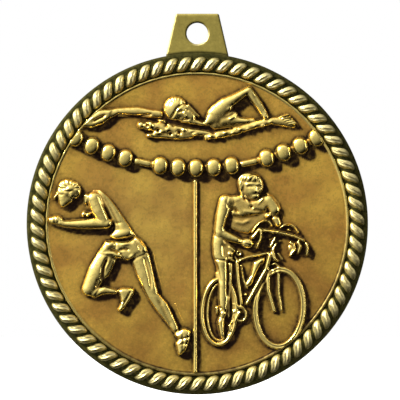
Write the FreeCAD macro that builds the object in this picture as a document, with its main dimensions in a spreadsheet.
"""Sports finisher medal: a cast frame with a rope border and a hanging tab, a struck relief insert that
stands in the frame's well, and the bond pad between them. Millimetres.

Every piece is drawn lying on its back, with the middle of the disc at the origin, +Y towards the tab and +Z out of
the face. stand_up then hangs it: +Z up, the face towards -Y, and the middle of the hanging hole at the origin.
"""

import FreeCAD, Part
import math
import os

import Sketcher
from FreeCAD import Placement, Rotation, Vector

DOCUMENT = FreeCAD.newDocument("finisher_medal")
PARTS_FOLDER = "parts"

# Driving dimensions, in millimetres, degrees and counts. Heights are measured from the medal's back.
DIMENSIONS = {
    "rim_dia": 57.15,
    "insert_dia": 50.8,
    "well_gap": 0.1,
    "back_recess": 0.3,
    "well_floor": 1.2,
    "bond_thick": 0.2,
    "bond_inset": 1.5,
    "blank_thick": 1.2,
    "band_top": 2.4,
    "edge_bevel": 0.3,
    "rope_ring_dia": 53.9,
    "rope_core_radius": 0.8,
    "strand_count": 74,
    "strand_length": 3.3,
    "strand_width": 1.44,
    "strand_rise": 1.4,
    "strand_lay": 40.0,
    "tab_top": 35.2,
    "tab_top_width": 7.2,
    "tab_root": 26.6,
    "tab_root_width": 11.2,
    "tab_thick": 2.0,
    "hole_dia": 3.6,
    "hole_height": 31.9,
    "lip_width": 0.5,
    "lip_rise": 0.15,
    "relief_rise": 1.4,
    "relief_root": 0.4,
    "float_line_radius": 43.0,
    "float_line_low": 9.3,
    "float_pitch": 3.93,
    "float_radius": 1.3,
    "spacer_radius": 0.5,
    "spacer_length": 2.6,
    "cord_radius": 0.3,
    "rib_radius": 0.35,
}

FLOATS_PER_SIDE = 7
SPACER_PLACE = 3
RIB_PLACE = -0.35
FLOAT_LINE_PLACE = -0.2
SINK_LIMIT = 0.4
JOINT_SLIMMING = 0.97


def make_sheet():
    """The spreadsheet that every size is read from."""
    sheet = DOCUMENT.addObject("Spreadsheet::Sheet", "dims")
    for row, (alias, value) in enumerate(DIMENSIONS.items(), start=1):
        sheet.set(f"A{row}", alias)
        sheet.set(f"B{row}", str(value))
        sheet.setAlias(f"B{row}", alias)
    DOCUMENT.recompute()
    return sheet


SHEET = make_sheet()


def value_of(expression):
    """An expression's number, as the document works it out."""
    found = SHEET.evalExpression(expression.replace("dims.", ""))
    return float(getattr(found, "Value", found))


FIELD = "(dims.well_floor + dims.bond_thick + dims.blank_thick)"
FIELD_HEIGHT = value_of(FIELD)


def bind(thing, **sizes):
    """Ties properties to expressions over the sheet; Placement_Base_y stands for Placement.Base.y."""
    for name, expression in sizes.items():
        thing.setExpression(name.replace("_Base_", ".Base."), expression)


def new_boolean(kind, name):
    """A boolean that keeps the faces as they meet: merging them afterwards breaks later booleans."""
    boolean = DOCUMENT.addObject(kind, name)
    boolean.Refine = False
    return boolean


def new_body(label):
    body = DOCUMENT.addObject("PartDesign::Body", label)
    body.Label = label
    return body


def origin_feature(body, role):
    """One of the body's own planes or axes, by its role."""
    return next(feature for feature in body.Origin.OriginFeatures if feature.Role == role)


def new_sketch(body, name, plane):
    sketch = body.newObject("Sketcher::SketchObject", name)
    sketch.AttachmentSupport = (origin_feature(body, plane), [""])
    sketch.MapMode = "FlatFace"
    return sketch


def pin_vertex(sketch, edge, across, up):
    """Holds the first point of an edge at two expressions, measured from the sketch's origin."""
    for kind, expression, axis in (("DistanceX", across, -2), ("DistanceY", up, -1)):
        number = value_of(expression)
        if abs(number) < 1e-9:
            sketch.addConstraint(Sketcher.Constraint("PointOnObject", edge, 1, axis))
        else:
            index = sketch.addConstraint(Sketcher.Constraint(kind, -1, 1, edge, 1, number))
            sketch.setExpression(f"Constraints[{index}]", expression)


def outline_sketch(body, name, plane, corners):
    """A closed outline of straight edges through corners, each a pair of expressions."""
    sketch = new_sketch(body, name, plane)
    spots = [Vector(value_of(across), value_of(up), 0) for across, up in corners]
    for spot, following in zip(spots, spots[1:] + spots[:1]):
        sketch.addGeometry(Part.LineSegment(spot, following))
    for edge in range(len(spots)):
        following = (edge + 1) % len(spots)
        sketch.addConstraint(Sketcher.Constraint("Coincident", edge, 2, following, 1))
    for edge, (across, up) in enumerate(corners):
        pin_vertex(sketch, edge, across, up)
    return sketch


def circle_sketch(body, name, radius, up="0"):
    """A circle on the body's XY plane, centred on its Y axis."""
    sketch = new_sketch(body, name, "XY_Plane")
    sketch.addGeometry(Part.Circle(Vector(0, value_of(up), 0), Vector(0, 0, 1), value_of(radius)))
    index = sketch.addConstraint(Sketcher.Constraint("Radius", 0, value_of(radius)))
    sketch.setExpression(f"Constraints[{index}]", radius)
    sketch.addConstraint(Sketcher.Constraint("PointOnObject", 0, 3, -2))
    if value_of(up):
        index = sketch.addConstraint(Sketcher.Constraint("DistanceY", -1, 1, 0, 3, value_of(up)))
        sketch.setExpression(f"Constraints[{index}]", up)
    else:
        sketch.addConstraint(Sketcher.Constraint("PointOnObject", 0, 3, -1))
    return sketch


def revolve(body, name, corners):
    """A full turn about Z of an outline drawn in the half plane of +X."""
    sketch = outline_sketch(body, f"{name}_outline", "XZ_Plane", corners)
    turned = body.newObject("PartDesign::Revolution", name)
    turned.Profile = sketch
    turned.ReferenceAxis = (sketch, ["V_Axis"])
    turned.Angle = 360
    sketch.Visibility = False
    return turned


def pad(body, name, sketch, length):
    lifted = body.newObject("PartDesign::Pad", name)
    lifted.Profile = sketch
    bind(lifted, Length=length)
    sketch.Visibility = False
    return lifted


def stand_up(piece):
    """Hangs a piece that was drawn on its back, with the middle of the hanging hole at the origin."""
    piece.Placement = Placement(Vector(0, 0, 0), Rotation(Vector(1, 0, 0), 90))
    bind(piece, Placement_Base_y="dims.tab_thick / 2", Placement_Base_z="-dims.hole_height")


# ---------------------------------------------------------------- the cast frame


def make_frame():
    """A tray with a recessed back, a flat outer band, a rope border on it, and the tab with its hole."""
    body = new_body("medal_frame")
    rim = "dims.rim_dia / 2"
    recess = "dims.insert_dia / 2"
    well = "dims.insert_dia / 2 + dims.well_gap"
    revolve(body, "tray", [
        ("0", "dims.back_recess"),
        (f"{recess} - dims.back_recess", "dims.back_recess"),
        (recess, "0"),
        (f"{rim} - dims.edge_bevel", "0"),
        (rim, "dims.edge_bevel"),
        (rim, "dims.band_top - dims.edge_bevel"),
        (f"{rim} - dims.edge_bevel", "dims.band_top"),
        (well, "dims.band_top"),
        (well, "dims.well_floor"),
        ("0", "dims.well_floor"),
    ])
    core = body.newObject("PartDesign::AdditiveTorus", "rope_core")
    bind(core, Radius1="dims.rope_ring_dia / 2", Radius2="dims.rope_core_radius",
         Placement_Base_z="dims.band_top")
    DOCUMENT.recompute()

    tab_outline = outline_sketch(body, "tab_outline", "XY_Plane", [
        ("-dims.tab_root_width / 2", "dims.tab_root"),
        ("dims.tab_root_width / 2", "dims.tab_root"),
        ("dims.tab_top_width / 2", "dims.tab_top"),
        ("-dims.tab_top_width / 2", "dims.tab_top"),
    ])
    pad(body, "tab", tab_outline, "dims.tab_thick")

    DOCUMENT.recompute()
    solid_before = body.Shape.Volume
    hole = body.newObject("PartDesign::Pocket", "hanging_hole")
    hole.Profile = circle_sketch(body, "hole_outline", "dims.hole_dia / 2", "dims.hole_height")
    hole.Type = "ThroughAll"
    hole.Reversed = True
    DOCUMENT.recompute()
    hole_volume = value_of("pi * dims.hole_dia ^ 2 / 4 * dims.tab_thick")
    cut = solid_before - body.Shape.Volume
    if abs(cut - hole_volume) > 0.01 * hole_volume:
        raise SystemExit(f"the hanging hole cut {cut:.2f} and not {hole_volume:.2f} cubic millimetres")

    strand = body.newObject("PartDesign::AdditiveEllipsoid", "rope_strand")
    strand.Placement = Placement(Vector(0, 0, 0), Rotation(Vector(0, 0, 1), value_of("dims.strand_lay")))
    bind(strand, Radius1="dims.strand_rise", Radius2="dims.strand_length / 2", Radius3="dims.strand_width / 2",
         Placement_Base_y="dims.rope_ring_dia / 2", Placement_Base_z="dims.band_top")
    DOCUMENT.recompute()
    border = body.newObject("PartDesign::PolarPattern", "rope_border")
    border.Originals = [strand]
    border.Axis = (origin_feature(body, "Z_Axis"), [""])
    border.Angle = 360
    bind(border, Occurrences="dims.strand_count")
    body.Tip = border
    stand_up(body)
    return body


# ---------------------------------------------------------------- the bond pad


def make_bond_pad():
    """The thin adhesive disc between the frame's well and the insert."""
    body = new_body("bond_pad")
    revolve(body, "film", [
        ("0", "dims.well_floor"),
        ("dims.insert_dia / 2 - dims.bond_inset", "dims.well_floor"),
        ("dims.insert_dia / 2 - dims.bond_inset", "dims.well_floor + dims.bond_thick"),
        ("0", "dims.well_floor + dims.bond_thick"),
    ])
    stand_up(body)
    return body


# ---------------------------------------------------------------- the struck insert


def make_blank():
    """The insert's disc: a flat field inside a low bevelled lip."""
    body = new_body("insert_blank")
    edge = "dims.insert_dia / 2"
    foot = "dims.well_floor + dims.bond_thick"
    revolve(body, "disc", [
        ("0", foot),
        (edge, foot),
        (edge, FIELD),
        (f"{edge} - dims.lip_width / 3", f"{FIELD} + dims.lip_rise"),
        (f"{edge} - dims.lip_width * 2 / 3", f"{FIELD} + dims.lip_rise"),
        (f"{edge} - dims.lip_width", FIELD),
        ("0", FIELD),
    ])
    return body


def make_floats():
    """The lane line's round floats on a sagging arc, with a plain spacer at one place on each side."""
    radius = value_of("dims.float_line_radius")
    middle = Vector(FLOAT_LINE_PLACE, value_of("dims.float_line_low") + radius, FIELD_HEIGHT)
    pieces = []
    for place in range(-FLOATS_PER_SIDE, FLOATS_PER_SIDE + 1):
        turn = place * value_of("dims.float_pitch")
        spot = middle + Rotation(Vector(0, 0, 1), turn).multVec(Vector(0, -radius, 0))
        if abs(place) == SPACER_PLACE:
            spacer = DOCUMENT.addObject("Part::Cylinder", f"spacer_{place + FLOATS_PER_SIDE}")
            bind(spacer, Radius="dims.spacer_radius", Height="dims.spacer_length")
            lie_down = Rotation(Vector(0, 0, 1), turn) * Rotation(Vector(0, 1, 0), 90)
            half = lie_down.multVec(Vector(0, 0, value_of("dims.spacer_length") / 2))
            spacer.Placement = Placement(spot - half, lie_down)
            pieces.append(spacer)
        else:
            ball = DOCUMENT.addObject("Part::Sphere", f"float_{place + FLOATS_PER_SIDE}")
            bind(ball, Radius="dims.float_radius")
            ball.Placement = Placement(spot, Rotation())
            pieces.append(ball)
    return pieces


def make_float_cord():
    """The cord that runs through the floats."""
    cord = DOCUMENT.addObject("Part::Torus", "float_cord")
    bind(cord, Radius1="dims.float_line_radius", Radius2="dims.cord_radius",
         Placement_Base_y="dims.float_line_low + dims.float_line_radius",
         Placement_Base_z=f"{FIELD} + dims.cord_radius / 4")
    cord.Placement.Base.x = FLOAT_LINE_PLACE
    return cord


def make_rib():
    """The upright bar that parts the runner's field from the cyclist's."""
    rib = DOCUMENT.addObject("Part::Cylinder", "divider_rib")
    rib.Placement = Placement(Vector(RIB_PLACE, 0, 0), Rotation(Vector(1, 0, 0), -90))
    bind(rib, Radius="dims.rib_radius", Height="dims.insert_dia / 2 + dims.float_line_low",
         Placement_Base_y="-dims.insert_dia / 2", Placement_Base_z=f"{FIELD} - dims.rib_radius / 5")
    return rib


def limb(start, end, rise):
    """A round bar between two joints, each (across, up, radius), sunk so that its crest is rise above the field."""
    centres = [
        Vector(across, up, FIELD_HEIGHT + min(rise - radius, SINK_LIMIT * radius))
        for across, up, radius in (start, end)
    ]
    start_radius, end_radius = start[2], end[2]
    along = centres[1] - centres[0]
    apart = along.Length
    lean = math.acos((start_radius - end_radius) / apart)

    def on_circle(middle, radius, angle):
        return Vector(middle + radius * math.cos(angle), radius * math.sin(angle), 0)

    tail, nose = Vector(-start_radius, 0, 0), Vector(apart + end_radius, 0, 0)
    touch_start, touch_end = on_circle(0, start_radius, lean), on_circle(apart, end_radius, lean)
    half_section = Part.Wire([
        Part.Arc(tail, on_circle(0, start_radius, (math.pi + lean) / 2), touch_start).toShape(),
        Part.LineSegment(touch_start, touch_end).toShape(),
        Part.Arc(touch_end, on_circle(apart, end_radius, lean / 2), nose).toShape(),
        Part.LineSegment(nose, tail).toShape(),
    ])
    bar = Part.Face(half_section).revolve(Vector(0, 0, 0), Vector(1, 0, 0), 360)
    bar.Placement = Placement(centres[0], Rotation(Vector(1, 0, 0), along))
    return bar


def chain(joints, rise):
    """Limbs from joint to joint. Each later one starts a little thinner, so that no two share a surface."""
    slimmed = [(across, up, JOINT_SLIMMING * radius) for across, up, radius in joints]
    starts = [joints[0]] + slimmed[1:-1]
    return [limb(start, end, rise) for start, end in zip(starts, joints[1:])]


def wheel(across, up, half_width, half_height, tyre, rise):
    """A wheel seen at a slant: a round tyre bent into an oval, its crest rise above the field."""
    centre = Vector(across, up, FIELD_HEIGHT + rise - tyre)
    top = centre + Vector(0, half_height - tyre, 0)
    side = centre + Vector(half_width - tyre, 0, 0)
    oval = Part.Ellipse(top, side, centre)
    section = Part.Circle(oval.value(0), oval.tangent(0)[0], tyre)
    return Part.Wire([oval.toShape()]).makePipeShell([Part.Wire([section.toShape()])], True, False)


def make_figure(name, solids):
    """One figure as a single shape, from overlapping solids."""
    figure = DOCUMENT.addObject("Part::Feature", name)
    figure.Shape = solids[0].multiFuse(solids[1:])
    return figure


def runner():
    """A sprinter leaning forward out of the start, the near knee driven up."""
    return (
        chain([(-22.5, 4.4, 1.4), (-21.3, 5.5, 2.1)], 1.2)
        + chain([(-19.9, 4.2, 1.3), (-17.0, 4.6, 1.5)], 0.8)
        + chain([(-16.6, 3.9, 1.7), (-14.3, 0.8, 1.8), (-12.4, -2.4, 2.0)], 0.95)
        + chain([(-17.2, 4.0, 1.25), (-15.3, 0.4, 0.95)], 1.35)
        + chain([(-15.2, 0.0, 0.8), (-21.5, 0.1, 0.65)], 1.25)
        + chain([(-22.0, 0.3, 0.7), (-24.0, 0.7, 0.75)], 1.3)
        + chain([(-13.6, -4.0, 1.75), (-10.9, -4.1, 2.0)], 1.25)
        + chain([(-14.5, -5.4, 1.9), (-18.0, -10.7, 1.55)], 1.15)
        + chain([(-17.7, -11.4, 1.0), (-15.2, -11.3, 0.85), (-12.9, -11.6, 0.6)], 0.9)
        + chain([(-11.7, -11.5, 0.95), (-12.7, -14.0, 0.6)], 1.0)
        + chain([(-9.8, -5.6, 2.0), (-7.7, -11.6, 1.35)], 1.15)
        + chain([(-7.2, -12.2, 1.25), (-5.3, -14.6, 1.3), (-3.3, -17.6, 0.65)], 1.0)
        + chain([(-2.3, -18.6, 1.1), (-2.7, -21.2, 0.75)], 1.0)
    )


def cyclist():
    """A rider seen from the front quarter, low over drop handlebars, with the bicycle."""
    rider = (
        chain([(8.9, 6.7, 2.0), (9.6, 5.4, 1.5)], 1.3)
        + chain([(5.9, 3.7, 1.5), (11.9, 3.3, 1.6)], 0.95)
        + chain([(8.6, 2.4, 2.4), (6.9, -0.4, 1.9)], 0.75)
        + chain([(4.5, 4.1, 1.35), (3.8, -1.0, 1.1)], 1.25)
        + chain([(3.9, -1.7, 1.0), (7.2, -3.0, 0.65)], 1.3)
        + chain([(7.8, -3.1, 0.75), (9.4, -3.4, 0.75)], 1.2)
        + chain([(12.4, 3.4, 1.4), (13.7, 0.3, 0.75)], 0.95)
        + chain([(3.9, -2.9, 1.5), (4.0, -5.2, 1.5)], 0.85)
        + chain([(4.5, -6.4, 1.4), (4.6, -10.2, 1.1), (4.4, -15.0, 0.75)], 1.15)
        + chain([(4.2, -15.9, 0.8), (4.3, -18.9, 0.7)], 1.05)
        + chain([(10.3, -5.9, 1.2), (8.7, -10.0, 0.6)], 0.75)
        + chain([(16.1, -3.7, 1.1), (16.1, -4.9, 0.95)], 1.05)
        + chain([(6.9, -15.0, 0.9), (5.9, -18.4, 0.7)], 0.75)
    )
    bicycle = (
        [wheel(13.6, -14.05, 4.4, 6.85, 0.4, 0.55), wheel(3.9, -14.8, 3.2, 5.8, 0.35, 0.5)]
        + chain([(6.9, -5.8, 0.3), (12.4, -4.8, 0.3)], 0.6)
        + chain([(6.7, -6.0, 0.4), (7.4, -13.4, 0.4)], 0.65)
        + chain([(12.1, -5.4, 0.45), (8.1, -13.4, 0.45)], 0.85)
        + chain([(12.7, -2.2, 0.5), (13.0, -6.3, 0.55)], 0.85)
        + chain([(12.1, -6.6, 0.4), (12.0, -11.0, 0.4), (12.9, -14.4, 0.3)], 0.75)
        + chain([(13.7, -6.8, 0.35), (14.1, -14.4, 0.3)], 0.6)
        + chain([(9.4, -2.1, 0.4), (10.5, -1.0, 0.35), (13.4, -1.4, 0.35), (17.0, -2.3, 0.35), (18.3, -3.6, 0.4)], 1.0)
        + chain([(18.3, -3.7, 0.4), (18.2, -5.3, 0.35)], 0.9)
        + chain([(7.4, -14.2, 0.9), (8.0, -15.0, 0.8)], 0.75)
    )
    return rider + bicycle


def swimmer():
    """A front-crawl swimmer low in the water, one arm reaching ahead and one bent over."""
    return (
        chain([(-3.8, 19.4, 2.1), (-1.9, 18.7, 1.7)], 1.35)
        + chain([(-7.2, 18.6, 0.6), (-13.0, 18.9, 0.6), (-15.7, 18.1, 0.9), (-18.8, 17.0, 0.75)], 0.8)
        + chain([(0.4, 17.6, 1.4), (3.4, 18.5, 1.7)], 0.9)
        + chain([(3.6, 18.9, 1.3), (8.3, 22.1, 0.85)], 1.15)
        + chain([(8.6, 21.9, 0.8), (11.6, 17.9, 0.6)], 1.0)
        + chain([(4.6, 17.4, 1.4), (10.0, 18.0, 0.7)], 0.55)
        + chain([(-9.0, 16.1, 1.3), (-4.2, 15.7, 1.5), (1.6, 14.9, 0.8), (7.2, 15.7, 0.95), (12.4, 16.7, 1.1)], 0.65)
        + chain([(12.4, 16.9, 1.0), (15.7, 17.0, 1.1)], 0.75)
    )


def trim(work, envelope):
    """Cuts one raised group to the insert's edge and to the height that a die strikes."""
    trimmed = new_boolean("Part::Common", f"{work.Name}_trimmed")
    trimmed.Base = work
    trimmed.Tool = envelope
    return trimmed


def make_insert():
    """The struck disc: its blank and everything raised on it, as one solid."""
    float_line = new_boolean("Part::MultiFuse", "float_line")
    float_line.Shapes = make_floats() + [make_float_cord()]
    raised_groups = [
        float_line,
        make_rib(),
        make_figure("runner", runner()),
        make_figure("cyclist", cyclist()),
        make_figure("swimmer", swimmer()),
    ]
    envelope = DOCUMENT.addObject("Part::Cylinder", "striking_envelope")
    bind(envelope, Radius="dims.insert_dia / 2 - dims.lip_width / 2",
         Height="dims.relief_root + dims.relief_rise", Placement_Base_z=f"{FIELD} - dims.relief_root")
    insert = new_boolean("Part::MultiFuse", "relief_insert")
    insert.Shapes = [make_blank()] + [trim(group, envelope) for group in raised_groups]
    stand_up(insert)
    return insert


# ---------------------------------------------------------------- build, check and write


def check_document():
    """Stops if an object failed, because a recompute doesn't raise."""
    failed = [thing.Label for thing in DOCUMENT.Objects if {"Invalid", "Error"} & set(thing.State)]
    if failed:
        raise SystemExit(f"these objects failed: {failed}")


def check_piece(piece):
    """Stops unless the piece is one valid solid."""
    shape = piece.Shape
    if shape.isNull() or not shape.isValid() or len(shape.Solids) != 1:
        raise SystemExit(f"{piece.Label} isn't one valid solid")
    box = shape.BoundBox
    print(f"{piece.Label}: {shape.Volume:.0f} mm3, {len(shape.Faces)} faces, "
          f"X {box.XMin:.2f}..{box.XMax:.2f}, Y {box.YMin:.2f}..{box.YMax:.2f}, Z {box.ZMin:.2f}..{box.ZMax:.2f}")


def main():
    pieces = [make_frame(), make_bond_pad(), make_insert()]
    DOCUMENT.recompute()
    check_document()
    for piece in pieces:
        check_piece(piece)
    os.makedirs(PARTS_FOLDER, exist_ok=True)
    for piece in pieces:
        piece.Shape.exportStep(os.path.join(PARTS_FOLDER, f"{piece.Label}.step"))


main()
